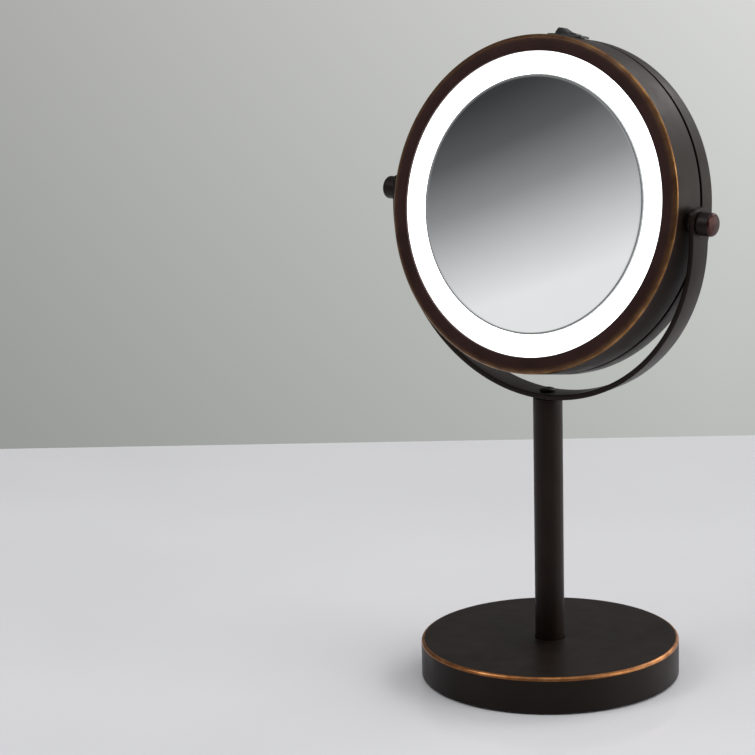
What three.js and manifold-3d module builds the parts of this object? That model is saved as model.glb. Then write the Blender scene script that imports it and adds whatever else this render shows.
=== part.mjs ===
// Tabletop lighted vanity mirror: a round two-sided mirror head that tilts in a U-shaped yoke,
// on a post and a weighted base. Units are millimetres. The origin is the centre of the base's
// underside, +Z is up and the lit mirror faces -Y.
import * as THREE from "three";
import { mergeVertices } from "three/addons/utils/BufferGeometryUtils.js";
import Module from "manifold-3d";

const wasm = await Module();
wasm.setup();

// ---- Driving dimensions ----
const GAP = 0.3; // free space kept between neighbouring pieces
const TILT = THREE.MathUtils.degToRad(12); // the head leans back by this much at rest
const PIVOT_Z = 226; // height of the tilt axis

const BASE_R = 61;
const BASE_TOP = 18;
const RIM_Z = 0.7; // the base's rim stands this far above the table, on its pad
const SHEET = 1.2; // wall of the pressed steel shells
const EDGE_R = 1.2; // rolled edge of the base
const POST_R = 6.9;
const POST_WALL = 1.1;

const YOKE_R = 83; // outer radius of the yoke's arc, and half its outer span
const YOKE_DROP = 7.5; // the arc's centre lies this far below the tilt axis
const YOKE_T = 2.5;
const YOKE_W = 13;
const YOKE_END = 7; // the arms end this far above the tilt axis

const HEAD_R = 77.8;
const FRONT_Y = -13.2; // front face of the head, measured along the head's own axis
const REAR_Y = 19;
const GROOVE_Y = [7.3, 9.0]; // shadow groove between the front and rear shells
const LIP_R = 70; // opening in the front lip
const REAR_LIP_R = 69;
const LIP_T = 1.5;
const MIRROR_R = 59.5;
const CHASSIS_R = 76.1;
const CHASSIS_Y = 4.9;
const PIN_R = 2.4;
const BORE_R = 2.8;
const KNOB_R = 5.5;
const KNOB_LENGTH = 7.3;

const SWITCH_Y = 3.2; // centre of the switch along the head's axis
const SWITCH_Z = HEAD_R + 0.35; // level of the switch's flange
const SWITCH = {
  flange: 19,
  flangeDepth: 8,
  body: 14.4,
  bodyDepth: 6.4,
  well: 12.8,
  wellDepth: 5.2,
  rockerDepth: 4.6,
};

const BATTERY = { r: 5.25, length: 44.5, pitch: 11.2, count: 4 }; // AAA cells
const SCREW_CIRCLE_R = 48; // chassis screws

// ---- Materials ----
const paint = (color, roughness, metalness) =>
  new THREE.MeshStandardMaterial({ color, roughness, metalness });
const bronze = paint(0x2e2420, 0.42, 0.75);
const silvered = paint(0xd8dadc, 0.03, 1);
const opal = paint(0xffffff, 0.5, 0);
opal.emissive = new THREE.Color(0xffffff);
const whitePlastic = paint(0xf2f2ee, 0.6, 0);
const blackPlastic = paint(0x1b1a1a, 0.5, 0);
const steel = paint(0x9a9c9e, 0.35, 1);
const iron = paint(0x4a4744, 0.7, 0.8);
const brass = paint(0xb58b45, 0.35, 1);
const foam = paint(0x202020, 0.95, 0);
const nylon = paint(0x1e1d1c, 0.6, 0);
const boardGreen = paint(0x1f5a36, 0.6, 0);
const boardWhite = paint(0xeeeeea, 0.5, 0);
const cellJacket = paint(0x5c6a74, 0.4, 0.3);
const redWire = paint(0xa82020, 0.5, 0);
const blackWire = paint(0x161616, 0.5, 0);

// ---- Shape helpers ----
// A solid of revolution about +Y. The profile is [radius, height] points, anticlockwise with
// radius to the right.
const lathe = (profile, segments = 64) =>
  new THREE.LatheGeometry(
    profile.map(([r, h]) => new THREE.Vector2(r, h)),
    segments,
  );

// A ring of rectangular section between two radii and two heights. An inner radius of 0 gives a disc.
function ring(inner, outer, low, high, segments = 64) {
  if (inner === 0) return lathe([[0, low], [outer, low], [outer, high], [0, high]], segments);
  return lathe([[inner, low], [outer, low], [outer, high], [inner, high], [inner, low]], segments);
}

// Points on a circular arc in the profile plane, angles in degrees.
function arc(cx, cy, r, from, to, steps) {
  return Array.from({ length: steps + 1 }, (_, i) => {
    const a = THREE.MathUtils.degToRad(from + ((to - from) * i) / steps);
    return [cx + r * Math.cos(a), cy + r * Math.sin(a)];
  });
}

const box = (x, y, z, dx, dy, dz) => new THREE.BoxGeometry(dx, dy, dz).translate(x, y, z);
const alongZ = (geometry) => geometry.rotateX(Math.PI / 2);
const alongX = (geometry, side = 1) => geometry.rotateZ((-side * Math.PI) / 2);

// A closed mesh geometry as a manifold-3d solid.
function solid(geometry) {
  const bare = geometry.clone();
  bare.deleteAttribute("normal");
  bare.deleteAttribute("uv");
  const merged = mergeVertices(bare, 1e-4);
  return new wasm.Manifold(
    new wasm.Mesh({
      numProp: 3,
      vertProperties: new Float32Array(merged.attributes.position.array),
      triVerts: new Uint32Array(merged.index.array),
    }),
  );
}

function geometryOf(manifold) {
  const mesh = manifold.getMesh();
  const geometry = new THREE.BufferGeometry();
  geometry.setAttribute("position", new THREE.BufferAttribute(mesh.vertProperties, 3));
  geometry.setIndex(new THREE.BufferAttribute(mesh.triVerts, 1));
  return geometry;
}

const cut = (geometry, ...tools) =>
  geometryOf(tools.reduce((left, tool) => left.subtract(solid(tool)), solid(geometry)));
const join = (geometry, ...more) =>
  geometryOf(more.reduce((sum, piece) => sum.add(solid(piece)), solid(geometry)));

// A round rod of the given radius swept along a curve.
function rod(curve, radius, steps, sides = 6) {
  const section = new THREE.Shape();
  for (let i = 0; i < sides; i++) {
    const a = (2 * Math.PI * i) / sides;
    section[i ? "lineTo" : "moveTo"](radius * Math.cos(a), radius * Math.sin(a));
  }
  return new THREE.ExtrudeGeometry(section, { steps, extrudePath: curve, bevelEnabled: false });
}

const mirrorLight = new THREE.Group();
const head = new THREE.Group();
head.position.z = PIVOT_Z;
head.rotation.x = -TILT;
mirrorLight.add(head);

function add(group, name, geometry, material) {
  const mesh = new THREE.Mesh(geometry, material);
  mesh.name = name;
  group.add(mesh);
  return mesh;
}

// ---- Base ----
const PLATE_Z = [1.8, 3.0];
const WEIGHT_Z = [3.4, 15.6];
const COUNTERBORE = { r: 8.5, top: 9.4 };
const SEAT = { r: POST_R + GAP, depth: 0.6 }; // shallow recess that centres the post
const BOLT = { r: 3, headR: 5, headZ: 3.9, headH: 4, tipZ: 34 };

function addBase() {
  const innerR = BASE_R - SHEET;
  const shell = [
    [innerR, RIM_Z],
    ...arc(BASE_R - 0.5, RIM_Z + 0.5, 0.5, -90, 0, 2),
    ...arc(BASE_R - EDGE_R, BASE_TOP - EDGE_R, EDGE_R, 0, 90, 5),
    [SEAT.r, BASE_TOP],
    [SEAT.r, BASE_TOP - SEAT.depth],
    [BOLT.r + 0.6, BASE_TOP - SEAT.depth],
    [BOLT.r + 0.6, BASE_TOP - SHEET],
    [innerR - 1, BASE_TOP - SHEET],
    [innerR, BASE_TOP - SHEET - 1],
    [innerR, RIM_Z],
  ];
  add(mirrorLight, "base_shell", alongZ(lathe(shell)), bronze);
  add(mirrorLight, "foot_pad", alongZ(ring(0, 57, 0, 1.5)), foam);
  add(mirrorLight, "base_plate", alongZ(ring(0, innerR - GAP, ...PLATE_Z)), steel);
  const weight = [
    [COUNTERBORE.r, WEIGHT_Z[0]],
    [innerR - 0.8, WEIGHT_Z[0]],
    [innerR - 0.8, WEIGHT_Z[1] - 1.5],
    [innerR - 2.3, WEIGHT_Z[1]],
    [BOLT.r + 0.6, WEIGHT_Z[1]],
    [BOLT.r + 0.6, COUNTERBORE.top],
    [COUNTERBORE.r, COUNTERBORE.top],
    [COUNTERBORE.r, WEIGHT_Z[0]],
  ];
  add(mirrorLight, "base_weight", alongZ(lathe(weight, 48)), iron);
  const bolt = [
    [0, BOLT.headZ],
    [BOLT.headR, BOLT.headZ],
    [BOLT.headR, BOLT.headZ + BOLT.headH],
    [BOLT.r, BOLT.headZ + BOLT.headH],
    [BOLT.r, BOLT.tipZ - 1],
    [BOLT.r - 1, BOLT.tipZ],
    [0, BOLT.tipZ],
  ];
  add(mirrorLight, "base_bolt", alongZ(lathe(bolt, 24)), steel);
  const washerZ = BOLT.headZ + BOLT.headH + GAP;
  const washer = ring(BOLT.r + 0.4, COUNTERBORE.r - 0.8, washerZ, washerZ + 0.9, 24);
  add(mirrorLight, "base_washer", alongZ(washer), steel);
}

// ---- Post and yoke ----
const YOKE_BOTTOM = PIVOT_Z - YOKE_DROP - YOKE_R;
const POST_Z = [BASE_TOP - SEAT.depth + GAP, YOKE_BOTTOM - GAP];
const YOKE_SCREW = { r: 1.9, headR: 3.6, headH: 1.6, length: 14 };

function addPost() {
  add(mirrorLight, "post_tube", alongZ(ring(POST_R - POST_WALL, POST_R, ...POST_Z, 40)), bronze);
  const insertR = POST_R - POST_WALL - GAP;
  const lower = ring(BOLT.r + 0.3, insertR, POST_Z[0], POST_Z[0] + 20, 24);
  add(mirrorLight, "post_lower_insert", alongZ(lower), brass);
  const upper = ring(YOKE_SCREW.r + 0.3, insertR, POST_Z[1] - 16, POST_Z[1], 24);
  add(mirrorLight, "post_upper_insert", alongZ(upper), brass);
}

// The yoke is a flat strap bent to a U: half a ring with short straight arms above it.
function yokeGeometry() {
  const inner = YOKE_R - YOKE_T;
  const armTop = YOKE_DROP + YOKE_END;
  const outline = new THREE.Shape();
  outline.moveTo(YOKE_R, armTop);
  outline.lineTo(inner, armTop);
  outline.lineTo(inner, 0);
  outline.absarc(0, 0, inner, 0, Math.PI, true);
  outline.lineTo(-inner, armTop);
  outline.lineTo(-YOKE_R, armTop);
  outline.lineTo(-YOKE_R, 0);
  outline.absarc(0, 0, YOKE_R, Math.PI, 2 * Math.PI, false);
  outline.closePath();
  const sweep = { depth: YOKE_W, bevelEnabled: false, curveSegments: 56 };
  const strap = new THREE.ExtrudeGeometry(outline, sweep);
  strap.translate(0, 0, -YOKE_W / 2);
  alongZ(strap); // the outline's Y becomes Z
  strap.translate(0, 0, PIVOT_Z - YOKE_DROP);
  const tools = [alongZ(ring(0, YOKE_SCREW.r + 0.3, YOKE_BOTTOM - 1, YOKE_BOTTOM + YOKE_T + 1, 20))];
  const corner = 3.2;
  for (const side of [-1, 1]) {
    tools.push(alongX(ring(0, BORE_R, inner - 2, YOKE_R + 2, 24), side).translate(0, 0, PIVOT_Z));
    for (const edge of [-1, 1]) {
      // A square turned by 45 degrees takes off each top corner of the arm.
      const chamfer = new THREE.BoxGeometry(YOKE_T + 4, corner * Math.SQRT2, corner * Math.SQRT2);
      chamfer.rotateX(Math.PI / 4);
      chamfer.translate(side * (YOKE_R - YOKE_T / 2), (edge * YOKE_W) / 2, PIVOT_Z + YOKE_END);
      tools.push(chamfer);
    }
  }
  return cut(strap, ...tools);
}

function addYoke() {
  add(mirrorLight, "yoke", yokeGeometry(), bronze);
  const seat = YOKE_BOTTOM + YOKE_T + GAP;
  const screw = [
    [0, seat - YOKE_SCREW.length],
    [YOKE_SCREW.r, seat - YOKE_SCREW.length],
    [YOKE_SCREW.r, seat],
    [YOKE_SCREW.headR, seat],
    [YOKE_SCREW.headR, seat + 0.8],
    [YOKE_SCREW.headR - 1.2, seat + YOKE_SCREW.headH],
    [0, seat + YOKE_SCREW.headH],
  ];
  add(mirrorLight, "yoke_screw", alongZ(lathe(screw, 24)), steel);
}

// ---- Tilt pivots ----
const PIVOT_X = {
  nut: [73.4, 76.1],
  spacer: [HEAD_R + GAP, YOKE_R - YOKE_T - 1.4],
  washer: [YOKE_R - YOKE_T - 1.1, YOKE_R - YOKE_T - GAP],
  knob: YOKE_R + GAP,
};

function addPivots() {
  for (const [label, side] of [["left", -1], ["right", 1]]) {
    const washer = alongX(ring(BORE_R + 0.2, KNOB_R, ...PIVOT_X.washer, 28), side);
    add(mirrorLight, `friction_washer_${label}`, washer.translate(0, 0, PIVOT_Z), nylon);
    const spacer = alongX(ring(BORE_R, 4.6, ...PIVOT_X.spacer, 28), side);
    add(head, `pivot_spacer_${label}`, spacer, bronze);
    const nut = ring((PIN_R + GAP) / Math.cos(Math.PI / 6), 4.4, ...PIVOT_X.nut, 6);
    add(head, `pivot_nut_${label}`, alongX(nut, side), steel);
    const pinEnd = PIVOT_X.knob + 3.6;
    add(head, `pivot_pin_${label}`, alongX(ring(0, PIN_R, PIVOT_X.nut[0] - 0.4, pinEnd, 24), side), steel);
    const rim = PIVOT_X.knob + KNOB_LENGTH;
    const knob = [
      [0, pinEnd + GAP],
      [PIN_R + GAP, pinEnd + GAP],
      [PIN_R + GAP, PIVOT_X.knob],
      [KNOB_R - 0.4, PIVOT_X.knob],
      [KNOB_R, PIVOT_X.knob + 0.4],
      [KNOB_R, rim - 1.9],
      ...arc(KNOB_R - 1.5, rim - 1.9, 1.5, 15, 75, 3),
      [KNOB_R - 3.2, rim],
      [0, rim + 0.15],
    ];
    add(head, `pivot_knob_${label}`, alongX(lathe(knob, 28), side), bronze);
  }
}

// ---- Head shells ----
// The front shell is one pressing: a front lip, a rolled edge and a side wall, with holes for the
// pivots and the switch.
function addFrontShell() {
  const wall = HEAD_R - SHEET;
  const profile = [
    [LIP_R, FRONT_Y + 0.5],
    [LIP_R + 0.5, FRONT_Y],
    ...arc(HEAD_R - 2, FRONT_Y + 2, 2, -90, 0, 5),
    [HEAD_R, GROOVE_Y[0]],
    [wall, GROOVE_Y[0]],
    [wall, FRONT_Y + LIP_T + 0.8],
    [wall - 0.8, FRONT_Y + LIP_T],
    [LIP_R, FRONT_Y + LIP_T],
    [LIP_R, FRONT_Y + 0.5],
  ];
  const bores = [-1, 1].map((side) => alongX(ring(0, BORE_R, wall - 3, HEAD_R + 3, 24), side));
  const slot = box(0, SWITCH_Y, HEAD_R, SWITCH.body + 0.8, SWITCH.bodyDepth + 0.8, 8);
  add(head, "front_shell", cut(lathe(profile, 72), ...bores, slot), bronze);
}

function addRearCover() {
  const wall = HEAD_R - SHEET;
  const shell = [
    [wall, GROOVE_Y[1]],
    [HEAD_R, GROOVE_Y[1]],
    ...arc(HEAD_R - 2, REAR_Y - 2, 2, 0, 90, 5),
    [REAR_LIP_R + 0.5, REAR_Y],
    [REAR_LIP_R, REAR_Y - 0.5],
    [REAR_LIP_R, REAR_Y - LIP_T],
    [wall - 0.8, REAR_Y - LIP_T],
    [wall, REAR_Y - LIP_T - 0.8],
    [wall, GROOVE_Y[1]],
  ];
  add(head, "rear_shell", lathe(shell, 72), bronze);
  const mirrorBack = REAR_Y - LIP_T - GAP;
  add(head, "rear_mirror", ring(0, 73, mirrorBack - 2.4, mirrorBack), silvered);
  add(head, "rear_backing", ring(0, 72, mirrorBack - 4.2, mirrorBack - 2.7, 48), blackPlastic);
}

// ---- Lamp: mirror, opal ring, reflector and lights ----
const LAMP = {
  glassY: [-12.2, -9.4],
  opalY: [-11.4, -9.2],
  shelfY: [-9.1, -7.9],
  floorY: [-4, -2.8],
  boardY: [-5.3, -4.3],
};
const LED_COUNT = 24;

function addLamp() {
  const [face, back] = LAMP.glassY;
  const glass = [
    [0, face],
    [MIRROR_R - 0.8, face],
    [MIRROR_R, face + 0.6],
    [MIRROR_R, back],
    [0, back],
  ];
  add(head, "front_mirror", lathe(glass), silvered);
  add(head, "diffuser_ring", ring(MIRROR_R + 0.4, 73, ...LAMP.opalY), opal);

  // The reflector is a ring-shaped trough with a shelf behind the mirror and three screw posts.
  const [shelf, shelfBack] = LAMP.shelfY;
  const [floor, floorBack] = LAMP.floorY;
  const trough = [
    [30, shelf],
    [58.5, shelf],
    [58.5, floor],
    [70.8, floor],
    [70.8, shelf + 0.2],
    [72, shelf + 0.2],
    [72, floorBack],
    [57.3, floorBack],
    [57.3, shelfBack],
    [30, shelfBack],
    [30, shelf],
  ];
  const posts = screwPlaces().map(([x, z]) =>
    ring(1.2, 2.8, shelfBack - 0.6, CHASSIS_Y - GAP, 16).translate(x, 0, z),
  );
  const wireHole = box(65, floor, 0, 4, 6, 7);
  add(head, "reflector_tray", cut(join(lathe(trough, 60), ...posts), wireHole), whitePlastic);

  // Circuit board with the light-emitting diodes soldered on its front face.
  const [front, rear] = LAMP.boardY;
  const lights = Array.from({ length: LED_COUNT }, (_, i) => {
    const light = box(65.2, front - 0.35, 0, 3.5, 0.9, 2.8);
    return light.rotateY((2 * Math.PI * (i + 0.5)) / LED_COUNT);
  });
  add(head, "led_board", join(ring(60.5, 70, front, rear, 60), ...lights), boardWhite);
}

// ---- Chassis, batteries and wiring ----
function screwPlaces() {
  return [90, 210, 330].map((angle) => {
    const a = THREE.MathUtils.degToRad(angle);
    return [SCREW_CIRCLE_R * Math.cos(a), SCREW_CIRCLE_R * Math.sin(a)];
  });
}

const BAY = { x: 45.8, z: 51, wall: 1.6, front: -7.2, floor: -6.0, back: 4.6 };

function addChassis() {
  const lip = CHASSIS_R - 1.5;
  const profile = [
    [0, CHASSIS_Y],
    [CHASSIS_R, CHASSIS_Y],
    [CHASSIS_R, GROOVE_Y[1] + 1],
    [lip, GROOVE_Y[1] + 1],
    [lip, CHASSIS_Y + LIP_T],
    [0, CHASSIS_Y + LIP_T],
  ];
  const opening = box(0, CHASSIS_Y, 0, BAY.x, 6, BAY.z);
  const holes = screwPlaces().map(([x, z]) =>
    ring(0, 1.5, CHASSIS_Y - 1, CHASSIS_Y + 3, 16).translate(x, 0, z),
  );
  // Room for the switch's body.
  const notch = box(0, SWITCH_Y + 2.4, 73, SWITCH.body + 1.2, 3.2, 14);
  add(head, "chassis", cut(lathe(profile), opening, notch, ...holes), blackPlastic);
  const doorY = CHASSIS_Y + LIP_T + GAP;
  add(head, "battery_door", box(0, doorY + 0.7, 0, BAY.x + 8, 1.4, BAY.z + 7), blackPlastic);
  screwPlaces().forEach(([x, z], i) => {
    const seat = CHASSIS_Y + LIP_T + GAP;
    const screw = [
      [0, seat - 9],
      [0.9, seat - 9],
      [0.9, seat],
      [2.3, seat],
      [2.3, seat + 0.7],
      [1.4, seat + 1.4],
      [0, seat + 1.4],
    ];
    add(head, `chassis_screw_${i + 1}`, lathe(screw, 16).translate(x, 0, z), steel);
  });
}

class Coil extends THREE.Curve {
  constructor(turns, pitch, wide, narrow) {
    super();
    Object.assign(this, { turns, pitch, wide, narrow });
  }
  getPoint(t) {
    const a = 2 * Math.PI * this.turns * t;
    const r = this.wide + (this.narrow - this.wide) * t;
    return new THREE.Vector3(r * Math.cos(a), r * Math.sin(a), this.pitch * this.turns * t);
  }
}

function addBatteries() {
  const depth = BAY.back - BAY.front;
  const outer = box(0, BAY.front + depth / 2, 0, BAY.x + 2 * BAY.wall, depth, BAY.z + 2 * BAY.wall);
  const pocket = box(0, BAY.floor + 10, 0, BAY.x, 20, BAY.z);
  add(head, "battery_holder", cut(outer, pocket), blackPlastic);
  const cellY = BAY.floor + BATTERY.r + GAP;
  for (let i = 0; i < BATTERY.count; i++) {
    const x = (i - (BATTERY.count - 1) / 2) * BATTERY.pitch;
    const up = i % 2 ? -1 : 1; // neighbouring cells point opposite ways
    const half = BATTERY.length / 2;
    const cell = [
      [0, -half],
      [BATTERY.r, -half],
      [BATTERY.r, half - 1.2],
      [1.8, half - 1.2],
      [1.8, half],
      [0, half],
    ];
    const jacket = alongZ(lathe(cell, 20));
    if (up < 0) jacket.rotateY(Math.PI);
    add(head, `battery_${i + 1}`, jacket.translate(x, cellY, 0.6 * up), cellJacket);
    const spring = rod(new Coil(2.5, 0.75, 3.4, 2), 0.3, 20, 5);
    if (up < 0) spring.rotateX(Math.PI);
    const seat = BAY.z / 2 - 0.9;
    add(head, `battery_spring_${i + 1}`, spring.translate(x, cellY, -up * seat), steel);
  }
}

// The flange is bent to the drum: a slice of a ring, extruded along the head's axis.
function flangeGeometry() {
  const reach = Math.asin(SWITCH.flange / 2 / SWITCH_Z);
  const outline = new THREE.Shape();
  outline.absarc(0, 0, SWITCH_Z + 1, Math.PI / 2 - reach, Math.PI / 2 + reach, false);
  outline.absarc(0, 0, SWITCH_Z, Math.PI / 2 + reach, Math.PI / 2 - reach, true);
  outline.closePath();
  const depth = SWITCH.flangeDepth;
  const flange = new THREE.ExtrudeGeometry(outline, { depth, bevelEnabled: false, curveSegments: 12 });
  return alongZ(flange.translate(0, 0, -depth / 2)).translate(0, SWITCH_Y, 0);
}

function addSwitchAndWiring() {
  const body = box(0, SWITCH_Y, SWITCH_Z - 4.9, SWITCH.body, SWITCH.bodyDepth, 10.6);
  const well = box(0, SWITCH_Y, SWITCH_Z + 1, SWITCH.well, SWITCH.wellDepth, 8.8);
  add(head, "switch_housing", cut(join(flangeGeometry(), body), well), blackPlastic);
  for (const [label, x] of [["left", -3.2], ["right", 3.2]]) {
    add(head, `switch_terminal_${label}`, box(x, SWITCH_Y, SWITCH_Z - 12.8, 3, 0.8, 4.6), brass);
  }
  add(head, "driver_board", box(38, -6.9, 0, 16, 1.2, 24), boardGreen);
  addWires();
}

// Each wire is a smooth curve through a few points, from one terminal to the next.
function addWires() {
  const toSwitch = [[3.2, SWITCH_Y, 62], [9, 0.5, 54], [26, 0, 41], [36, -2.5, 24], [37, -5.2, 10]];
  const fromSwitch = [[-3.2, SWITCH_Y, 62], [3, 2.6, 53], [24, 2.5, 35], [37.5, 0, 22], [41, -5.2, 10]];
  const toLights = (z) => [[42, -5.2, z], [47, -2, z], [58, -1.4, z], [64.4, -1.6, z], [65, -3.7, z]];
  const fromCells = (side) => [[25, 0, 20], [28.5, -1, 19], [32, -3, 13], [33, -5.2, 9]]
    .map(([x, y, z]) => [x, y, side * z]);
  const wires = [
    ["wire_battery_positive", redWire, fromCells(1)],
    ["wire_battery_negative", blackWire, fromCells(-1)],
    ["wire_switch_in", redWire, toSwitch],
    ["wire_switch_out", blackWire, fromSwitch],
    ["wire_led_positive", redWire, toLights(2)],
    ["wire_led_negative", blackWire, toLights(-2)],
  ];
  for (const [name, material, points] of wires) {
    const curve = new THREE.CatmullRomCurve3(points.map((p) => new THREE.Vector3(...p)));
    add(head, name, rod(curve, 0.6, 16), material);
  }
}

// The rocker is a shallow V seen from the front: its left half is raised, so the lamp is switched on.
function addRocker() {
  const base = SWITCH_Z - 1.2;
  const half = SWITCH.well / 2 - GAP;
  const outline = new THREE.Shape();
  outline.moveTo(-half, base);
  outline.lineTo(half, base);
  outline.lineTo(half, base + 2.3);
  outline.lineTo(1.2, base + 3.1);
  outline.lineTo(-2.2, base + 4.7);
  outline.lineTo(-4.4, base + 4.7);
  outline.lineTo(-half + 0.3, base + 2.6);
  outline.closePath();
  const depth = SWITCH.rockerDepth;
  const rocker = new THREE.ExtrudeGeometry(outline, { depth, bevelEnabled: false });
  rocker.translate(0, 0, -depth / 2);
  alongZ(rocker);
  add(head, "switch_rocker", rocker.translate(0, SWITCH_Y, 0), blackPlastic);
}

addBase();
addPost();
addYoke();
addPivots();
addFrontShell();
addLamp();
addChassis();
addBatteries();
addSwitchAndWiring();
addRocker();
addRearCover();

export default mirrorLight;
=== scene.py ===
"""Tabletop lighted vanity mirror: the looks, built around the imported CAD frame.

Sizes are named in millimetres and put into metres when a piece is made. The origin is the centre of the
base's underside, +Z is up and the lit mirror faces -Y. Pieces of the head are worked out in the head's own
frame, where the mirror faces straight along -Y, and are then leaned back about the tilt axis.
"""
import math

import bmesh
import bpy
import numpy as np
from mathutils import Matrix


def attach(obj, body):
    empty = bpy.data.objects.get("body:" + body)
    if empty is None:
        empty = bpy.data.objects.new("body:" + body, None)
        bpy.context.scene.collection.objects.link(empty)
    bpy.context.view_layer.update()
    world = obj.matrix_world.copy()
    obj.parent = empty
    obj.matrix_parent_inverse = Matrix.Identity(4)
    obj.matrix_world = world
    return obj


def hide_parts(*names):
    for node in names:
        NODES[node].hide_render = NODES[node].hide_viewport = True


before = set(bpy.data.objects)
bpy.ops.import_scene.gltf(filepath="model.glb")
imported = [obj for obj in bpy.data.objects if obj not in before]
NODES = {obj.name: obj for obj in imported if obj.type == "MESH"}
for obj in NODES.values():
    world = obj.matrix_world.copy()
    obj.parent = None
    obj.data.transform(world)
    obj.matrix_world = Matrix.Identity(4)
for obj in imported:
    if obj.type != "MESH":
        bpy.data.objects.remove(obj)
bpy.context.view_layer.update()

MM = 0.001
TAU = 2 * math.pi

# Leading sizes, in millimetres, as the CAD has them.
GAP = 0.3
WALL = 1.2
TILT = math.radians(12)
PIVOT_Z = 226.0
BASE_R = 61.0
BASE_TOP = 18.0
SEAT_DEPTH = 0.6
PAD_R = 57.0
PAD_T = 1.5
POST_R = 6.9
POST_WALL = 1.1
YOKE_R = 83.0
YOKE_T = 2.5
YOKE_W = 13.0
YOKE_DROP = 7.5
YOKE_END = 7.0
YOKE_BOTTOM = PIVOT_Z - YOKE_DROP - YOKE_R
SCREW_HEAD_R = 3.6
KNOB_R = 5.4
KNOB_FOOT = YOKE_R + GAP
KNOB_RIM = KNOB_FOOT + 7.3
SPACER_R = 4.6
SPACER_END = YOKE_R - YOKE_T - 1.4
HEAD_R = 77.8
FRONT_Y = -13.2
REAR_Y = 19.0
GROOVE_Y = (7.3, 9.0)
LIP_R = 70.0
REAR_LIP_R = 69.0
MIRROR_R = 59.5
SWITCH_Y = 3.2
SLOT_HALF_WIDTH = 3.6
SLOT_HALF_DEGREES = 6
BODY_FOOT = 68.0
WELL_FLOOR = 74.75
ROCKER_BASE = HEAD_R + 0.35 - 1.2


# ---------------------------------------------------------------- surfaces
def mesh_piece(name, points, faces, body, replaces):
    """Puts whole arrays of points and faces into a mesh, and hangs the piece on its body."""
    mesh = bpy.data.meshes.new(name)
    mesh.from_pydata(points.astype(float).tolist(), [], faces)
    mesh.update()
    mesh.shade_smooth()
    piece = bpy.data.objects.new(name, mesh)
    bpy.context.scene.collection.objects.link(piece)
    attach(piece, body)
    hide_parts(*replaces)
    return piece


def grid_faces(rows, columns, wrap_rows=False, wrap_columns=False, start=0):
    """Quads of a grid of rows by columns points, in row order. A wrapped side is joined to its opposite."""
    i = np.arange(rows if wrap_rows else rows - 1)[:, None]
    j = np.arange(columns if wrap_columns else columns - 1)[None, :]
    i2, j2 = (i + 1) % rows, (j + 1) % columns
    quads = np.stack([i * columns + j, i * columns + j2, i2 * columns + j2, i2 * columns + j], -1)
    return (quads.reshape(-1, 4) + start).tolist()


def rounded(corners, steps=6, closed=False):
    """A profile with its corners rounded: each corner is (u, v, radius), and its arc touches both edges
    there."""
    count = len(corners)
    out = []
    for k, (u, v, radius) in enumerate(corners):
        here = np.array([u, v], float)
        if radius <= 0 or (not closed and k in (0, count - 1)):
            out.append(here)
            continue
        before = np.array(corners[k - 1][:2], float) - here
        after = np.array(corners[(k + 1) % count][:2], float) - here
        a, b = before / np.linalg.norm(before), after / np.linalg.norm(after)
        half = math.acos(np.clip(a @ b, -1, 1)) / 2
        middle = (a + b) / np.linalg.norm(a + b)
        centre = here + middle * radius / math.sin(half)
        first, last = here + a * radius / math.tan(half) - centre, here + b * radius / math.tan(half) - centre
        turn = math.atan2(first[0] * last[1] - first[1] * last[0], first @ last)
        angles = np.linspace(0, turn, steps + 1)
        out.extend(
            centre + np.stack([first[0] * np.cos(angles) - first[1] * np.sin(angles),
                               first[0] * np.sin(angles) + first[1] * np.cos(angles)], 1)
        )
    return np.array(out)


def subdivide(profile, longest):
    """The same profile with points added so that no straight stretch is longer than longest."""
    out = [profile[:1]]
    for a, b in zip(profile[:-1], profile[1:]):
        count = max(1, math.ceil(np.linalg.norm(b - a) / longest))
        t = np.arange(1, count + 1)[:, None] / count
        out.append(a + (b - a) * t)
    return np.concatenate(out)


def turned(profile, segments, axis="Z"):
    """A profile of (radius, height) points carried round an axis: point(s, t) = (r(s) cos t, r(s) sin t,
    h(s)). With axis X or Y the height runs along +X or +Y. A profile end on the axis becomes one pole
    point."""
    profile = np.asarray(profile, float)
    t = np.arange(segments) * TAU / segments
    poles = [k for k in (0, len(profile) - 1) if profile[k, 0] < 1e-6]
    closed = not poles and np.allclose(profile[0], profile[-1])
    first = 1 if 0 in poles else 0
    last = len(profile) - 1 if closed or len(profile) - 1 in poles else len(profile)
    body = profile[first:last]
    r, h = body[:, :1], body[:, 1:]
    points = np.stack([r * np.cos(t), r * np.sin(t), h + 0 * t], -1).reshape(-1, 3)
    faces = grid_faces(len(body), segments, wrap_rows=closed, wrap_columns=True)
    j = np.arange(segments)
    extra = []
    for k in poles:
        centre = len(points) + len(extra)
        extra.append([0, 0, profile[k, 1]])
        row = 0 if k == 0 else (len(body) - 1) * segments
        a, b = (row + (j + 1) % segments, row + j) if k == 0 else (row + j, row + (j + 1) % segments)
        faces += np.stack([np.full(segments, centre), a, b], 1).tolist()
    if extra:
        points = np.concatenate([points, np.array(extra, float)])
    if axis == "Y":
        points = np.stack([points[:, 0], points[:, 2], -points[:, 1]], 1)
    if axis == "X":
        points = np.stack([points[:, 2], points[:, 1], -points[:, 0]], 1)
    return points, faces


def in_head(points):
    """Points of the head's own frame, in millimetres, leaned back about the tilt axis and put into
    metres."""
    c, s = math.cos(TILT), math.sin(TILT)
    x, y, z = points[:, 0], points[:, 1], points[:, 2]
    return np.stack([x, y * c + z * s, PIVOT_Z - y * s + z * c], 1) * MM


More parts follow.
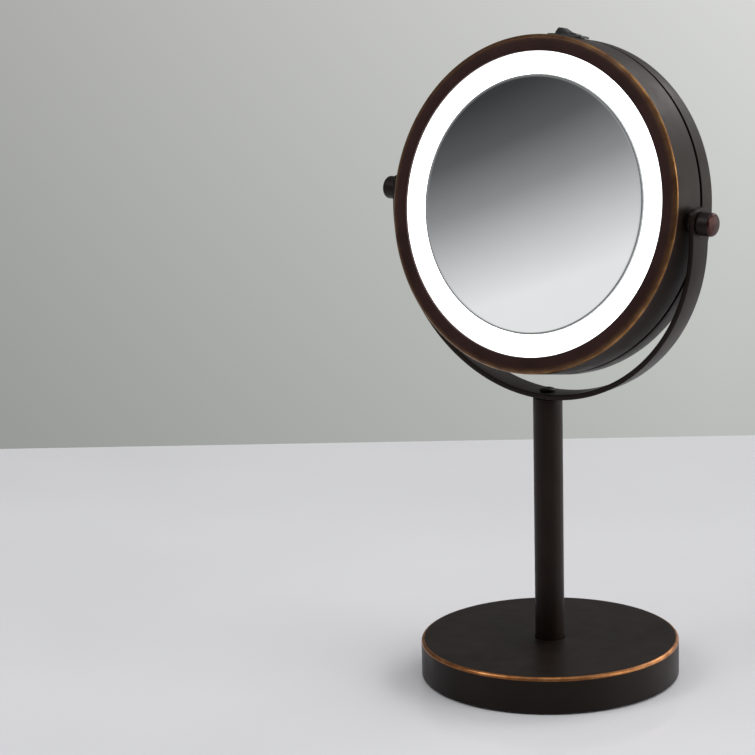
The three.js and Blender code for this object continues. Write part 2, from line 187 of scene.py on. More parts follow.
def head_places(piece):
    """Where each face's centre lies in the head's own frame: depth along its axis and distance from it, in
    mm."""
    centres = np.empty(len(piece.data.polygons) * 3)
    piece.data.polygons.foreach_get("center", centres)
    x, y, z = (centres.reshape(-1, 3) / MM - [0, 0, PIVOT_Z]).T
    c, s = math.cos(TILT), math.sin(TILT)
    return y * c - z * s, np.hypot(x, y * s + z * c)


def lathe_piece(name, corners, body, replaces, segments, axis="Z", head=False, longest=4, steps=6):
    """A turned piece from (radius, height, corner radius) points. When the last point is the first one
    again, the section is a closed loop; otherwise both of its ends lie on the axis."""
    closed = corners[0][:2] == corners[-1][:2]
    loop = corners[:-1] if closed else corners
    profile = rounded(loop, steps, closed)
    if closed:
        profile = np.concatenate([profile, profile[:1]])
    profile = subdivide(profile, longest)
    points, faces = turned(profile, segments, axis)
    points = in_head(points) if head else points * MM
    return mesh_piece(name, points, faces, body, replaces)


# ---------------------------------------------------------------- materials
NOISE, RAMP, RANGE, MATH = "ShaderNodeTexNoise", "ShaderNodeValToRGB", "ShaderNodeMapRange", "ShaderNodeMath"


def linear(code):
    """A colour given as an sRGB hex code, as linear red, green, blue and alpha 1."""
    rgb = np.array([int(code[k:k + 2], 16) for k in (1, 3, 5)]) / 255
    return (*np.where(rgb <= 0.04045, rgb / 12.92, ((rgb + 0.055) / 1.055) ** 2.4).tolist(), 1.0)


def node(owner, kind, settings=None, out=None, **links):
    """Adds one node to a material or a world. Settings are input names, input numbers or attributes with
    their values, and 'stops' is a ramp's list of positions and colours. Links are input names with sockets,
    or _0, _1 and so on for an input's number. It returns the node, or the output named by out."""
    made = owner.node_tree.nodes.new(kind)
    for key, value in (settings or {}).items():
        if key == "stops":
            elements = made.color_ramp.elements
            while len(elements) < len(value):
                elements.new(0.5)
            for element, (position, colour) in zip(elements, value):
                element.position = position
                element.color = linear(colour)
        elif isinstance(key, int) or key in made.inputs:
            made.inputs[key].default_value = value
        else:
            setattr(made, key, value)
    for key, socket in links.items():
        place = int(key[1:]) if key[0] == "_" else key.replace("_", " ")
        owner.node_tree.links.new(socket, made.inputs[place])
    return made if out is None else made.outputs[out]


def new_material(name):
    """An empty node material with its shader and object coordinates: returns material, shader and
    coordinates."""
    material = bpy.data.materials.new(name)
    material.use_nodes = True
    shader = material.node_tree.nodes["Principled BSDF"]
    coordinates = node(material, "ShaderNodeTexCoord", out="Object")
    return material, shader, coordinates


def link(material, socket, target):
    """Joins an output to one of the shader's inputs."""
    material.node_tree.links.new(socket, target)


def bronze_material(name, dark, warm, roughness, rub_and_sheen=None, copper=("#8f5a33", "#c08554")):
    """Oil-rubbed bronze: dark brown satin lacquer over copper-plated steel. It shows a fine orange-peel
    surface, faint brown clouding about 25 mm across, and warm copper wherever an edge has been rubbed back
    through the lacquer. The same mask and colours also carry painted highlights: on the knobs' ends, and as a
    faint lighter band over the bezel's rolled edge."""
    material, shader, coordinates = new_material(name)
    clouds = node(material, NOISE, {"Scale": 38, "Detail": 3, "Roughness": 0.55}, "Fac", Vector=coordinates)
    base = node(material, RAMP, {"stops": [(0.32, dark), (0.72, warm)]}, "Color", Fac=clouds)
    handling = node(material, NOISE, {"Scale": 90, "Detail": 3}, "Fac", Vector=coordinates)
    sheen = node(material, RANGE, {"From Min": 0.3, "From Max": 0.7, "To Min": roughness - 0.05,
                                   "To Max": roughness + 0.06}, "Result", Value=handling)
    # a satin lacquer with a little metal in it, which reflects less than bare plastic does
    metallic = 0.15
    shader.inputs["Metallic"].default_value = metallic
    shader.inputs["Specular IOR Level"].default_value = 0.17
    if rub_and_sheen is not None:
        mask = rub_and_sheen(material, coordinates)
        stain = node(material, NOISE, {"Scale": 160, "Detail": 3}, "Fac", Vector=coordinates)
        # the copper colours: real copper on rubbed edges, a painted highlight on the knobs' ends and over the
        # bezel's rolled edge
        bare = node(material, RAMP, {"stops": [(0.3, copper[0]), (0.7, copper[1])]}, "Color", Fac=stain)
        base = node(material, "ShaderNodeMix", {"data_type": "RGBA"}, 2, _0=mask, _6=base, _7=bare)
        metal = node(material, RANGE, {"To Min": metallic, "To Max": 1.0}, "Result", Value=mask)
        link(material, metal, shader.inputs["Metallic"])
        polish = node(material, RANGE, {"To Min": 0.0, "To Max": -0.1}, "Result", Value=mask)
        sheen = node(material, MATH, {"operation": "ADD"}, "Value", _0=sheen, _1=polish)
    link(material, base, shader.inputs["Base Color"])
    link(material, sheen, shader.inputs["Roughness"])
    # lacquer peel about 0.6 mm across, drawn at twice its height so that it shows
    peel = node(material, NOISE, {"Scale": 1600, "Detail": 1}, "Fac", Vector=coordinates)
    relief = node(material, "ShaderNodeBump", {"Strength": 0.12, "Distance": 0.05 * MM}, "Normal",
                  Height=peel)
    link(material, relief, shader.inputs["Normal"])
    return material


def head_coordinates(material, coordinates):
    """Object coordinates turned and moved into the head's own frame, in metres: (x, along the head's axis,
    z)."""
    lift = PIVOT_Z * MM
    return node(material, "ShaderNodeMapping", {
        "vector_type": "POINT",
        "Location": (0, lift * math.sin(TILT), -lift * math.cos(TILT)),
        "Rotation": (TILT, 0, 0),
    }, "Vector", Vector=coordinates)


def band(material, value, low, high, soft):
    """1 where a value lies between low and high, falling off to 0 over soft on both sides. All three are in
    mm."""
    rise = node(material, RANGE, {
        "interpolation_type": "SMOOTHSTEP", "From Min": (low - soft) * MM, "From Max": low * MM,
        "To Min": 0, "To Max": 1,
    }, "Result", Value=value)
    fall = node(material, RANGE, {
        "interpolation_type": "SMOOTHSTEP", "From Min": high * MM, "From Max": (high + soft) * MM,
        "To Min": 1, "To Max": 0,
    }, "Result", Value=value)
    return node(material, MATH, {"operation": "MULTIPLY"}, "Value", _0=rise, _1=fall)


def ring_place(material, coordinates, axis):
    """Distance from the Z axis (axis 'Z') or the Y axis (axis 'Y'), and the place along that axis."""
    along = node(material, "ShaderNodeSeparateXYZ", out=axis, Vector=coordinates)
    flat = (1, 1, 0) if axis == "Z" else (1, 0, 1)
    across = node(material, "ShaderNodeVectorMath", {"operation": "MULTIPLY", 1: flat}, "Vector",
                  _0=coordinates)
    return node(material, "ShaderNodeVectorMath", {"operation": "LENGTH"}, "Value", _0=across), along


def wear_and_sheen_ring(material, coordinates, radius, near, height, inside, least):
    """A ring mask, used both for edges rubbed back to copper and for painted highlights: where the distance
    from the axis lies in the band near and the place along it in the band inside, thinned in patches about 15
    mm long, down to least, as an edge wears unevenly."""
    edge = node(material, MATH, {"operation": "MULTIPLY"}, "Value", _0=band(material, radius, *near),
                _1=band(material, height, *inside))
    patches = node(material, NOISE, {"Scale": 60, "Detail": 2}, "Fac", Vector=coordinates)
    thin = node(material, RANGE, {"From Min": 0.3, "From Max": 0.62, "To Min": least, "To Max": 1.0},
                "Result", Value=patches)
    return node(material, MATH, {"operation": "MULTIPLY"}, "Value", _0=edge, _1=thin)


def base_rub(material, coordinates):
    """The rolled edge of the base is rubbed back to copper."""
    radius, height = ring_place(material, coordinates, "Z")
    return wear_and_sheen_ring(material, coordinates, radius, (BASE_R - 1.1, BASE_R + 0.2, 0.5), height,
                     (BASE_TOP - 1.3, BASE_TOP + 0.2, 0.6), 0.6)


def front_rub_and_highlight(material, coordinates):
    """The head's front edge carries a thin copper line rubbed through the lacquer, and inside it a painted
    highlight: a faint lighter band over the rolled edge, where the edge turns to the light.
    """
    radius, depth = ring_place(material, head_coordinates(material, coordinates), "Y")
    line = wear_and_sheen_ring(material, coordinates, radius, (HEAD_R - 0.5, HEAD_R + 0.4, 0.45), depth,
                     (FRONT_Y, FRONT_Y + 1.4, 0.5), 0.35)
    # painted highlight: a faint lighter copper-brown band over the rolled edge
    rolled_edge_highlight = node(material, MATH, {"operation": "MULTIPLY"}, "Value",
                _0=band(material, radius, HEAD_R - 0.6, HEAD_R + 0.4, 2.8),
                _1=band(material, depth, FRONT_Y - 0.4, FRONT_Y + 1.0, 1.0))
    faint = node(material, MATH, {"operation": "MULTIPLY", 1: 0.3}, "Value", _0=rolled_edge_highlight)
    return node(material, MATH, {"operation": "MAXIMUM"}, "Value", _0=line, _1=faint)


def knob_end_painted_highlight(material, coordinates):
    """The turned ends of the knobs, just inside their rims and beyond, get a painted highlight: a reddish
    brown that stands in for the light falling on the ends, while the sides stay dark.
    """
    across = node(material, "ShaderNodeSeparateXYZ", out="X", Vector=coordinates)
    out = node(material, MATH, {"operation": "ABSOLUTE"}, "Value", _0=across)
    return wear_and_sheen_ring(material, coordinates, out, (KNOB_RIM - 0.8, KNOB_RIM + 4.4, 1.0), out,
                     (0.0, 100.0, 1.0), 0.75)


def mirror_material(name, colour, roughness):
    """Silvered float glass: a clear, nearly perfect reflection, a touch darker than white, with faint
    dust."""
    material, shader, coordinates = new_material(name)
    shader.inputs["Metallic"].default_value = 1.0
    drift = node(material, NOISE, {"Scale": 25}, "Fac", Vector=coordinates)
    tone = node(material, RAMP, {"stops": [(0.2, colour), (0.9, "#f8f9fa")]}, "Color", Fac=drift)
    link(material, tone, shader.inputs["Base Color"])
    specks = node(material, NOISE, {"Scale": 700, "Detail": 3}, "Fac", Vector=coordinates)
    dust = node(material, RANGE, {"From Min": 0.55, "From Max": 0.8, "To Min": roughness,
                                  "To Max": roughness + 0.02}, "Result", Value=specks)
    link(material, dust, shader.inputs["Roughness"])
    return material


def plastic_material(name, low, high, roughness, texture_per_m=2600, depth_mm=0.03, strength=0.25, ior=1.49):
    """Moulded plastic such as ABS: slight colour drift and a fine spark-eroded texture from the mould."""
    material, shader, coordinates = new_material(name)
    shader.inputs["IOR"].default_value = ior
    drift = node(material, NOISE, {"Scale": 50}, "Fac", Vector=coordinates)
    tone = node(material, RAMP, {"stops": [(0.3, low), (0.7, high)]}, "Color", Fac=drift)
    link(material, tone, shader.inputs["Base Color"])
    handling = node(material, NOISE, {"Scale": 220}, "Fac", Vector=coordinates)
    sheen = node(material, RANGE, {"To Min": roughness - 0.05, "To Max": roughness + 0.05}, "Result",
                 Value=handling)
    link(material, sheen, shader.inputs["Roughness"])
    texture = node(material, NOISE, {"Scale": texture_per_m, "Detail": 1}, "Fac", Vector=coordinates)
    relief = node(material, "ShaderNodeBump", {"Strength": strength, "Distance": depth_mm * MM}, "Normal",
                  Height=texture)
    link(material, relief, shader.inputs["Normal"])
    return material


def metal_material(name, low, high, roughness, cells_per_m=300, strength=0.1, depth_mm=0.02):
    """Bare or plated metal: slight staining and fine tooling marks."""
    material, shader, coordinates = new_material(name)
    shader.inputs["Metallic"].default_value = 1.0
    stain = node(material, NOISE, {"Scale": 70, "Detail": 3}, "Fac", Vector=coordinates)
    tone = node(material, RAMP, {"stops": [(0.3, low), (0.7, high)]}, "Color", Fac=stain)
    link(material, tone, shader.inputs["Base Color"])
    marks = node(material, NOISE, {"Scale": cells_per_m, "Detail": 3}, "Fac", Vector=coordinates)
    sheen = node(material, RANGE, {"To Min": roughness - 0.06, "To Max": roughness + 0.08}, "Result",
                 Value=marks)
    link(material, sheen, shader.inputs["Roughness"])
    tooling = node(material, NOISE, {"Scale": cells_per_m * 4}, "Fac", Vector=coordinates)
    relief = node(material, "ShaderNodeBump", {"Strength": strength, "Distance": depth_mm * MM}, "Normal",
                  Height=tooling)
    link(material, relief, shader.inputs["Normal"])
    return material


def opal_material(name):
    """Opal acrylic lit from behind: an even white glow, with a slight random drift in its brightness."""
    material, shader, coordinates = new_material(name)
    shader.inputs["IOR"].default_value = 1.49
    shader.inputs["Roughness"].default_value = 0.45
    shader.inputs["Base Color"].default_value = linear("#fbfbfa")
    drift = node(material, NOISE, {"Scale": 30, "Detail": 1}, "Fac", Vector=coordinates)
    glow = node(material, RAMP, {"stops": [(0.2, "#fdfdff"), (0.8, "#ffffff")]}, "Color", Fac=drift)
    link(material, glow, shader.inputs["Emission Color"])
    shader.inputs["Emission Strength"].default_value = 2.2
    return material


BRONZE = bronze_material("oil_rubbed_bronze_lacquer", "#18100b", "#241812", 0.4)
BASE_BRONZE = bronze_material("oil_rubbed_bronze_base", "#16100c", "#201712", 0.42, rub_and_sheen=base_rub)
# the bezel's mask: a real rubbed copper line and a faint painted highlight over the rolled edge
FRONT_BRONZE = bronze_material("oil_rubbed_bronze_bezel", "#2c1915", "#3a2420", 0.36, rub_and_sheen=front_rub_and_highlight,
                               copper=("#704a2a", "#a67c4c"))
# on the knobs the copper colours are a painted highlight, a reddish brown on their turned ends
KNOB_BRONZE = bronze_material("oil_rubbed_bronze_knob", "#17100f", "#211716", 0.36, rub_and_sheen=knob_end_painted_highlight,
                              copper=("#3b2624", "#4d3430"))
FRONT_GLASS = mirror_material("silvered_magnifying_glass", "#f1f3f4", 0.01)
REAR_GLASS = mirror_material("silvered_flat_glass", "#f0f3f4", 0.008)
GLASS_EDGE = plastic_material("ground_glass_edge", "#7c8080", "#8d9191", 0.35, 900, 0.02, 0.1, 1.52)
OPAL = opal_material("opal_acrylic_lit")
BLACK_ABS = plastic_material("black_moulded_abs", "#141312", "#1e1c1b", 0.5)
ROCKER_ABS = plastic_material("black_polished_abs", "#151413", "#201e1d", 0.3, 1500, 0.015, 0.12)
WHITE_ABS = plastic_material("white_reflector_abs", "#eeeeea", "#f7f7f4", 0.55)
NYLON = plastic_material("black_nylon", "#121111", "#1b1a19", 0.45)
FOOT_RUBBER = plastic_material("foamed_eva_foot", "#161616", "#232323", 0.9, 1400, 0.25, 0.7, 1.45)
LAMINATE_WHITE = plastic_material("white_soldermask_laminate", "#e8e8e4", "#f4f4f0", 0.4)
LAMINATE_GREEN = plastic_material("green_soldermask_laminate", "#17502c", "#1f6438", 0.35)
CELL_JACKET = plastic_material("shrink_film_cell_jacket", "#4f5d68", "#62717d", 0.35)
RED_PVC = plastic_material("red_pvc_insulation", "#8f1717", "#b02222", 0.5)
BLACK_PVC = plastic_material("black_pvc_insulation", "#111111", "#1c1c1c", 0.5)
ZINC = metal_material("zinc_plated_steel", "#9a9ea2", "#b9bcbf", 0.32)
DARK_SCREW = bronze_material("bronze_plated_screw", "#15100e", "#241a16", 0.38)
CAST_IRON = metal_material("as_cast_iron", "#3a3734", "#55504b", 0.7, 500, 0.8, 0.3)
BRASS = metal_material("turned_brass", "#a8823f", "#c59c54", 0.3)

CARRIED = {
    ZINC: ["base_plate", "base_bolt", "base_washer", "pivot_nut_left", "pivot_nut_right", "pivot_pin_left",
           "pivot_pin_right", "chassis_screw_1", "chassis_screw_2", "chassis_screw_3",
           *[f"battery_spring_{i}" for i in (1, 2, 3, 4)]],
    CAST_IRON: ["base_weight"],
    BRASS: ["post_lower_insert", "post_upper_insert", "switch_terminal_left", "switch_terminal_right"],
    NYLON: ["friction_washer_left", "friction_washer_right"],
    WHITE_ABS: ["reflector_tray"],
    LAMINATE_WHITE: ["led_board"],
    LAMINATE_GREEN: ["driver_board"],
    BLACK_ABS: ["chassis", "battery_door", "battery_holder", "rear_backing"],
    CELL_JACKET: [f"battery_{i}" for i in (1, 2, 3, 4)],
    RED_PVC: ["wire_battery_positive", "wire_switch_in", "wire_led_positive"],
    BLACK_PVC: ["wire_battery_negative", "wire_switch_out", "wire_led_negative"],
}
# a carried piece keeps its CAD mesh and only gets the finish of its kind
for material, names in CARRIED.items():
    for name in names:
        NODES[name].data.materials.clear()
        NODES[name].data.materials.append(material)


def dress(piece, material):
    """Gives a piece its material, in the next free slot."""
    piece.data.materials.append(material)


# ---------------------------------------------------------------- base and post
def make_base():
    """The shell is one closed section carried round Z: the outside wall, the rolled upper edge and the top
    with a shallow seat for the post, then back a wall's thickness further in. The foot is a foam disc with
    a skived edge."""
    inner, foot = BASE_R - WALL, 0.7
    seat, bore = POST_R + GAP, 3.6
    floor, under = BASE_TOP - SEAT_DEPTH, BASE_TOP - WALL
    shell = [
        (inner, foot, 0), (BASE_R, foot, 0.35), (BASE_R, BASE_TOP, 1.5), (seat, BASE_TOP, 0.15),
        (seat, floor, 0), (bore, floor, 0), (bore, under, 0), (inner, under, 1.0), (inner, foot, 0),
    ]
    skin = lathe_piece("base_skin", shell, "stand", ["base_shell"], 320,
                       longest=3, steps=8)
    dress(skin, BASE_BRONZE)
    pad = [(0, 0, 0), (PAD_R, 0, 0.5), (PAD_R, PAD_T, 0.25), (0, PAD_T, 0)]
    disc = lathe_piece("foot_disc", pad, "stand", ["foot_pad"], 192, longest=6, steps=4)
    dress(disc, FOOT_RUBBER)


def make_post():
    """A plain tube carried round Z with its outer ends eased. It stands half way down its seat."""
    bottom, top, bore = BASE_TOP - GAP, YOKE_BOTTOM - GAP, POST_R - POST_WALL
    tube = [(bore, bottom, 0), (POST_R, bottom, 0.1), (POST_R, top, 0.25), (bore, top, 0), (bore, bottom, 0)]
    skin = lathe_piece("post_skin", tube, "stand", ["post_tube"], 96, longest=6, steps=4)
    dress(skin, BRONZE)


# ---------------------------------------------------------------- yoke
def make_yoke():
    """A flat strap with softened edges carried along a U. The path is half a circle with straight arms
    above it; the section is a rounded rectangle, whose width shrinks over the last few millimetres to round
    the arm ends."""
    middle = YOKE_R - YOKE_T / 2
    rise = YOKE_DROP + YOKE_END
    corner = 3.4
    straight = np.concatenate([rise - corner * (1 - np.cos(np.linspace(0, math.pi / 2, 10))),
                               np.linspace(rise - corner, 0, 8)[1:]])
    angles = np.linspace(0, math.pi, 181)[1:-1]
    # nx and nz point straight out of the strap; along the arms that is level, and round the bend it turns
    arm, level = np.ones(len(straight)), np.zeros(len(straight))
    nx = np.concatenate([arm, np.cos(angles), -arm])
    nz = np.concatenate([level, -np.sin(angles), level])
    x = middle * nx
    z = np.concatenate([straight, -middle * np.sin(angles), straight[::-1]])
    below = np.minimum(rise - np.maximum(z, rise - corner), corner)
    half = YOKE_W / 2 - corner + np.sqrt(np.maximum(corner**2 - (corner - below) ** 2, 0))
    # the section is made at the full width, then its two ends slide in as the width shrinks
    full = rounded([(-YOKE_W / 2, -YOKE_T / 2, 0.45), (YOKE_W / 2, -YOKE_T / 2, 0.45),
                    (YOKE_W / 2, YOKE_T / 2, 0.45), (-YOKE_W / 2, YOKE_T / 2, 0.45)], 4, closed=True)
    v = np.sign(full[:, 0]) * (half[:, None] - (YOKE_W / 2 - np.abs(full[:, 0])))
    u = np.broadcast_to(full[:, 1], v.shape)
    points = np.stack([x[:, None] + nx[:, None] * u, v, z[:, None] + nz[:, None] * u], -1).reshape(-1, 3)
    rows, columns = v.shape
    faces = grid_faces(rows, columns, wrap_columns=True)
    faces += [list(range(columns))[::-1], [(rows - 1) * columns + k for k in range(columns)]]
    points[:, 2] += PIVOT_Z - YOKE_DROP
    piece = mesh_piece("yoke_strap", points * MM, faces, "stand", ["yoke"])
    dress(piece, BRONZE)
    fix_outward(piece)
    hard_edges(piece)


def fix_outward(piece):
    """Turns the faces of a closed mesh outwards."""
    work = bmesh.new()
    work.from_mesh(piece.data)
    bmesh.ops.recalc_face_normals(work, faces=work.faces)
    work.to_mesh(piece.data)
    work.free()


def hard_edges(piece, angle=40):
    """Keeps creases sharper than this angle crisp under smooth shading."""
    piece.data.set_sharp_from_angle(angle=math.radians(angle))


def cross_headed(radius, low, high, crown, cross=0.42, wing=0.11, depth=0.8, rings=40, segments=96):
    """A pan head with a cross recess: z(r, t) is a low dome that falls to the rim, minus a pit whose depth
    follows how far the point lies inside a plus sign of two crossed bars."""
    r = np.linspace(0, radius, rings)[1:, None]
    t = (np.arange(segments) * TAU / segments)[None, :]
    x, y = r * np.cos(t), r * np.sin(t)
    dome = high + crown * (1 - (r / radius) ** 2) + 0 * t
    rim = np.clip((radius - r) / (0.12 * radius), 0, 1)
    dome = dome - 0.35 * crown * (1 - np.sqrt(np.maximum(1 - (1 - rim) ** 2, 0)))

    def bar(across, along):
        """1 inside one bar of the cross, falling off at its sides as a fourth power and at its ends in a
        line."""
        thin = np.clip(1 - (np.abs(across) / (wing * radius)) ** 4, 0, 1)
        return thin * np.clip((cross * radius - np.abs(along)) / (0.12 * radius), 0, 1)

    pit = np.maximum(bar(x, y), bar(y, x))
    z = dome - depth * pit
    top = np.stack([x, y, z], -1).reshape(-1, 3)
    side = np.stack([radius * np.cos(t[0]), radius * np.sin(t[0]), np.full(segments, low)], -1)
    centre = np.array([[0, 0, high + crown - depth], [0, 0, low]])
    points = np.concatenate([top, side, centre])
    rows = rings - 1
    faces = grid_faces(rows + 1, segments, wrap_columns=True)
    j = np.arange(segments)
    c0, c1 = len(points) - 2, len(points) - 1
    last = rows * segments
    faces += np.stack([np.full(segments, c0), j, (j + 1) % segments], 1).tolist()
    faces += np.stack([np.full(segments, c1), last + (j + 1) % segments, last + j], 1).tolist()
    return points, faces


def make_yoke_screw():
    """The screw's pan head lies a gap above the yoke's inner face. Its rim and its crown are equally
    high."""
    low, rise = YOKE_BOTTOM + YOKE_T + GAP, 0.8
    points, faces = cross_headed(SCREW_HEAD_R, low, low + rise, rise)
    piece = mesh_piece("yoke_screw_head", points * MM, faces, "stand", ["yoke_screw"])
    fix_outward(piece)
    dress(piece, DARK_SCREW)


# ---------------------------------------------------------------- head
def make_front_shell():
    """The lip, rolled edge and side wall are one profile turned about the head's axis, in columns one
    degree wide. Under the switch the wall's outer and inner faces are left out between two rows and two
    columns, and four strips close the opening. The side wall, behind the rolled edge, has the plain
    lacquer."""
    around, edge_depth = 360, 2.2
    wall, back = HEAD_R - WALL, FRONT_Y + 1.5
    near, far = SWITCH_Y - SLOT_HALF_WIDTH, SWITCH_Y + SLOT_HALF_WIDTH
    corners = [
        (LIP_R, FRONT_Y, 0.5), (HEAD_R - 1.5, FRONT_Y + 0.1, 1.2), (HEAD_R, FRONT_Y + 1.3, 1.3),
        (HEAD_R, near, 0), (HEAD_R, far, 0), (HEAD_R, GROOVE_Y[0], 0.3),
        (wall, GROOVE_Y[0], 0), (wall, far, 0), (wall, near, 0), (wall, back, 0.8), (LIP_R, back, 0),
    ]
    profile = rounded(corners, 6, True)
    profile = subdivide(np.concatenate([profile, profile[:1]]), 4)
    points, faces = turned(profile, around, "Y")

    def row_at(radius, height):
        """The number of the profile's point that lies nearest to this radius and height."""
        return int(np.argmin(np.hypot(profile[:, 0] - radius, profile[:, 1] - height)))

    # the columns are counted round from +X, so the head's highest point is three quarters of the way
    top = 3 * around // 4
    left, right = top - SLOT_HALF_DEGREES, top + SLOT_HALF_DEGREES
    outer = np.arange(row_at(HEAD_R, near), row_at(HEAD_R, far) + 1)
    inner = np.arange(row_at(wall, far), row_at(wall, near) + 1)[::-1]
    quads = np.array(faces)
    row, column = quads[:, 0] // around, quads[:, 0] % around
    in_rows = np.isin(row, outer[:-1]) | np.isin(row, inner[1:])
    quads = quads[~(in_rows & (column >= left) & (column < right))]
    columns = np.arange(left, right + 1)
    strips = []
    for rim, behind in (
        (outer * around + left, inner * around + left),
        (outer * around + right, inner * around + right),
        (outer[0] * around + columns, inner[0] * around + columns),
        (outer[-1] * around + columns, inner[-1] * around + columns),
    ):
        strips.append(np.stack([rim[:-1], rim[1:], behind[1:], behind[:-1]], 1))
    faces = np.concatenate([quads, *strips]).tolist()
    piece = mesh_piece("front_shell_skin", in_head(points), faces, "head",
                       ["front_shell"])
    fix_outward(piece)
    hard_edges(piece, 60)
    dress(piece, FRONT_BRONZE)
    dress(piece, BRONZE)
    depth, _ = head_places(piece)
    piece.data.polygons.foreach_set("material_index", (depth > FRONT_Y + edge_depth).astype(np.int32))


def make_rear_cover():
    """The shell is one closed section turned about the head's axis: the side wall, the rounded rear edge
    and the lip over the glass, then back a wall's thickness further in. The rear mirror is a flat disc
    behind that lip."""
    wall, inside = HEAD_R - WALL, REAR_Y - 1.5
    shell = [
        (wall, GROOVE_Y[1], 0), (HEAD_R, GROOVE_Y[1], 0.3), (HEAD_R, REAR_Y, 2.0), (REAR_LIP_R, REAR_Y, 0.4),
        (REAR_LIP_R, inside, 0), (wall, inside, 0.8), (wall, GROOVE_Y[1], 0),
    ]
    skin = lathe_piece("rear_shell_skin", shell, "rear_cover", ["rear_shell"], 360,
                       "Y", True)
    dress(skin, BRONZE)
    back, thick, glass_r = inside - GAP, 2.4, 73
    glass = [(0, back - thick, 0), (glass_r, back - thick, 0), (glass_r, back, 0.0), (0, back, 0)]
    disc = lathe_piece("rear_glass", glass, "rear_cover", ["rear_mirror"], 256, "Y", True,
                       longest=8)
    dress(disc, REAR_GLASS)


def make_front_glass():
    """A shallow dish of silvered glass, sunk along a parabola y(r) = rim + sag (1 - (r/R)^2), with a ground
    edge."""
    sag, rim_y, back, land = 2.2, -12.15, -9.4, 0.75
    r = np.linspace(0, MIRROR_R - land, 70)
    dish = np.stack([r, rim_y + sag * (1 - (r / (MIRROR_R - land)) ** 2)], 1)
    edge = [[0, back], [MIRROR_R, back], [MIRROR_R, rim_y + 0.2], [MIRROR_R - 0.15, rim_y]]
    profile = np.concatenate([edge, dish[::-1]])
    points, faces = turned(profile, 256, "Y")
    piece = mesh_piece("magnifying_glass", in_head(points), faces, "head", ["front_mirror"])
    dress(piece, FRONT_GLASS)
    dress(piece, GLASS_EDGE)
    depth, radius = head_places(piece)
    ground = (radius > MIRROR_R - land) | (depth > back - 0.2)
    piece.data.polygons.foreach_set("material_index", ground.astype(np.int32))
    hard_edges(piece, 30)


def make_opal():
    """The ring's section is a rectangle whose front is crowned from the mirror to the lip: y(t) = front -
    crown sin(pi t)^0.8, with t running from 0 to 1 across the part that shows. It is turned about the
    head's axis."""
    front, back, height = -11.4, -9.2, 0.25
    inner, outer = MIRROR_R + 0.4, 73.0
    t = np.linspace(0, 1, 24)
    crown = np.stack([inner + (LIP_R - 0.4 - inner) * t, front - height * np.sin(math.pi * t) ** 0.8], 1)
    profile = np.concatenate([crown, [[outer, front], [outer, back], [inner, back]], crown[:1]])
    points, faces = turned(profile, 256, "Y")
    piece = mesh_piece("opal_ring", in_head(points), faces, "head", ["diffuser_ring"])
    hard_edges(piece, 50)
    dress(piece, OPAL)


def make_pivots():
    """A knob is a profile turned about X: a straight side, a rim that is a quarter of an ellipse, and a
    face that is a low parabola. A collar is a plain ring between the drum and the yoke. The left ones are
    mirrored in X."""
    face_r = 3.6
    t = np.linspace(0, math.pi / 2, 12)
    rim = np.stack([KNOB_R - (KNOB_R - face_r) * (1 - np.cos(t)), KNOB_RIM - 1.9 + 1.6 * np.sin(t)], 1)
    r = np.linspace(face_r, 0, 8)[1:, None]
    face = np.concatenate([r, KNOB_RIM - 0.3 + 0.42 * (1 - (r / face_r) ** 2)], 1)
    side = [[0, KNOB_FOOT], [KNOB_R - 0.4, KNOB_FOOT], [KNOB_R, KNOB_FOOT + 0.4]]
    knob = np.concatenate([side, rim, face])
    bore, drum = 2.8, HEAD_R + GAP
    section = [(bore, drum, 0), (SPACER_R, drum, 0.2), (SPACER_R, SPACER_END, 0.25), (bore, SPACER_END, 0)]
    collar = rounded(section, 4, closed=True)
    collar = np.concatenate([collar, collar[:1]])
    for label, sign in (("left", -1), ("right", 1)):
        for shape, profile, segments, node_name, material in (
            ("knob", knob, 96, "pivot_knob", KNOB_BRONZE),
            ("collar", collar, 64, "pivot_spacer", BRONZE),
        ):
            points, faces = turned(profile, segments, "X")
            points[:, 0] *= sign
            piece = mesh_piece(f"{shape}_{label}", in_head(points), faces, "head",
                               [f"{node_name}_{label}"])
            fix_outward(piece)
            hard_edges(piece, 35)
            dress(piece, material)


# ---------------------------------------------------------------- switch
def make_bezel():
    """A body with a rectangular flange bent to the drum, and a well for the rocker. Rings of rounded
    rectangles run from the body's foot up to the flange, out under it, up its side, over its top and down
    into the well. A ring on the flange has the height of a cylinder about the head's axis, z(x) =
    sqrt((drum radius + lift)^2 - x^2); the rings at the body's foot and the well's floor are flat."""
    body, flange, well, steps = (7.2, 3.2), (9.5, 4.0), (6.4, 2.6), 6
    rings = []
    for sides, inset, radius, lift, level in (
        (body, 0.0, 0.5, None, BODY_FOOT), (body, 0.0, 0.5, 0.32, None), (flange, 0.0, 1.2, 0.32, None),
        (flange, 0.0, 1.2, 1.0, None), (flange, 0.1, 1.2, 1.21, None), (flange, 0.3, 1.2, 1.3, None),
        (well, -0.15, 0.5, 1.3, None), (well, 0.0, 0.4, 1.15, None), (well, 0.0, 0.4, None, WELL_FLOOR),
    ):
        hx, hy = sides[0] - inset, sides[1] - inset
        corners = [(-hx, -hy, radius), (hx, -hy, radius), (hx, hy, radius), (-hx, hy, radius)]
        loop = rounded(corners, steps, True)
        z = np.full(len(loop), level) if lift is None else np.sqrt((HEAD_R + lift) ** 2 - loop[:, 0] ** 2)
        rings.append(np.column_stack([loop, z]))
    count = len(rings[0])
    points = np.concatenate(rings)
    faces = grid_faces(len(rings), count, wrap_columns=True)
    faces += [list(range(count))[::-1], [(len(rings) - 1) * count + k for k in range(count)]]
    points[:, 1] += SWITCH_Y
    piece = mesh_piece("switch_bezel", in_head(points), faces, "head", ["switch_housing"])
    fix_outward(piece)
    hard_edges(piece, 35)
    dress(piece, BLACK_ABS)


